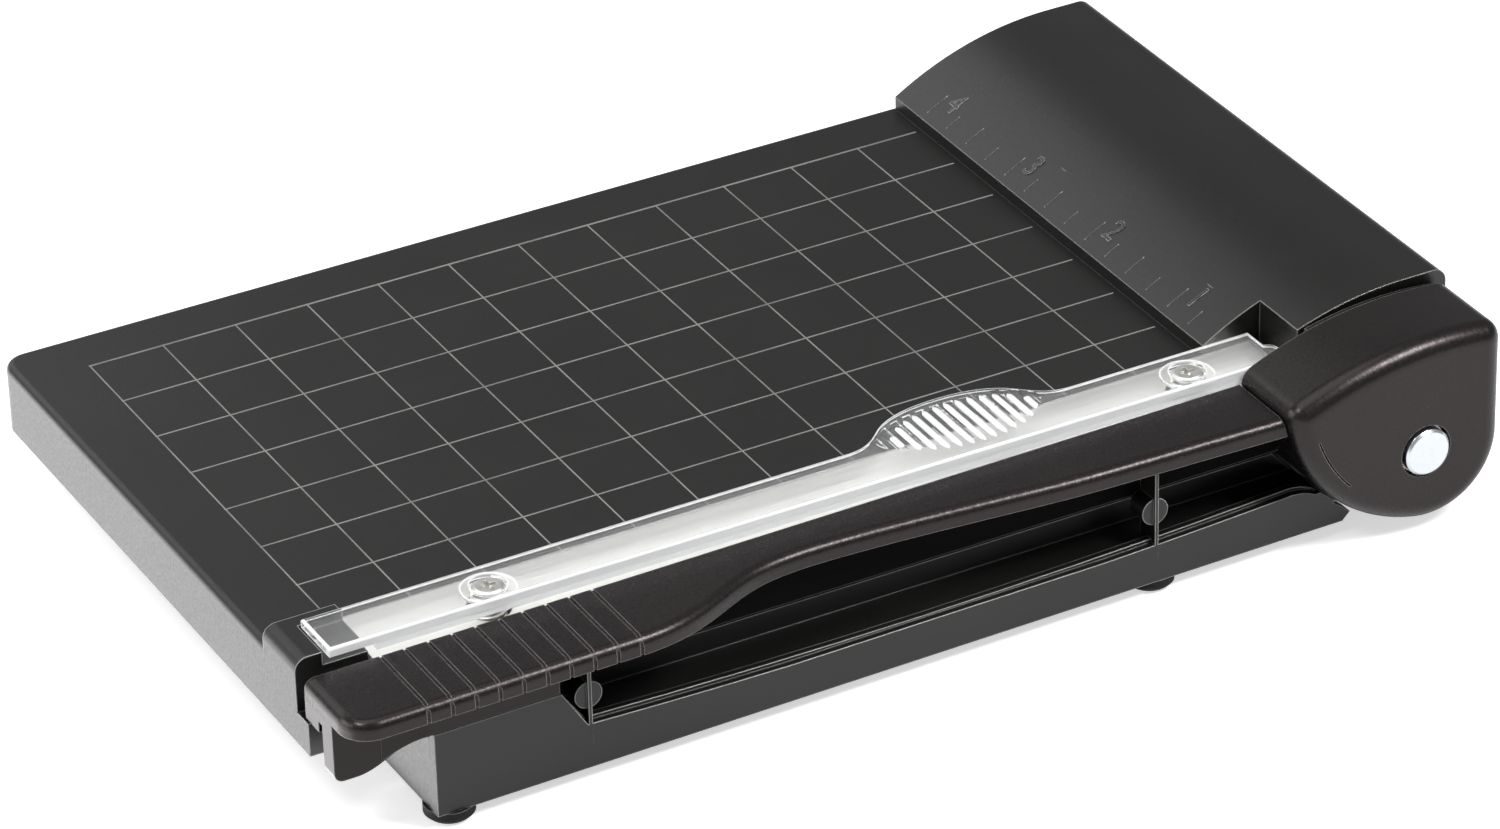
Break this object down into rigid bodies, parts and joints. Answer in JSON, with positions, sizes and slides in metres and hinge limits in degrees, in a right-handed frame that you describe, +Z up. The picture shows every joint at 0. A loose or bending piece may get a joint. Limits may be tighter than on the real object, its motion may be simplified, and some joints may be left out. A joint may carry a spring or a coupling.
{
  "type": "paper trimmer",
  "caption": "Small desk guillotine for paper: a hollow gridded table with a curved ruler cover, a sprung clear press bar over a steel bed knife, and a hinged cutting arm with a grooved grip.",
  "frame": {"origin": "centre of the outer box in plan, at the underside of the feet", "axes": "+X along the cut from the grip to the pivot, +Y away from the user, +Z up"},
  "size_m": [0.2018, 0.1288, 0.0349],
  "materials": {
    "table_plastic": "satin black",
    "plate_plastic": "matt black",
    "cover_plastic": "glossy black",
    "arm_plastic": "fine-grained black",
    "clear_plastic": "clear",
    "knife_steel": "ground",
    "spring_steel": "drawn",
    "zinc_steel": "zinc plated",
    "bolt_chrome": "bright plated",
    "bush_brass": "turned",
    "foot_rubber": "matt black"
  },
  "bodies": {
    "base": {"base_housing": "table_plastic", "base_plate": "plate_plastic", "plate_screws": "zinc_steel", "foot_front_left": "foot_rubber", "foot_front_right": "foot_rubber", "foot_rear_left": "foot_rubber", "foot_rear_right": "foot_rubber", "ruler_cover": "cover_plastic", "cover_screws": "zinc_steel", "bed_knife": "knife_steel", "guard_screws": "zinc_steel", "guard_springs": "spring_steel", "pivot_bolt": "bolt_chrome", "pivot_washer": "zinc_steel", "thrust_washer": "plate_plastic", "nut_washer": "zinc_steel", "pivot_nut": "zinc_steel"},
    "arm": {"arm_cap": "arm_plastic", "arm_frame": "arm_plastic", "cap_screws": "zinc_steel", "blade": "knife_steel", "blade_screws": "zinc_steel", "hub_cover": "arm_plastic", "hub_rim": "arm_plastic", "hub_screws": "zinc_steel", "pivot_bush": "bush_brass"},
    "guard": {"paper_guard": "clear_plastic"}
  },
  "joints": [
    {"name": "arm_lift", "type": "hinge", "parent": "base", "child": "arm", "pos_m": [0.0856, -0.0476, 0.0151], "axis": [0, 1, 0], "range_deg": [0, 80]},
    {"name": "guard_press", "type": "slide", "parent": "base", "child": "guard", "axis": [0, 0, -1], "range_m": [0, 0.0017], "stiffness_N_per_m": 1500, "springref_m": -0.0005, "deforming": ["guard_springs"]}
  ]
}
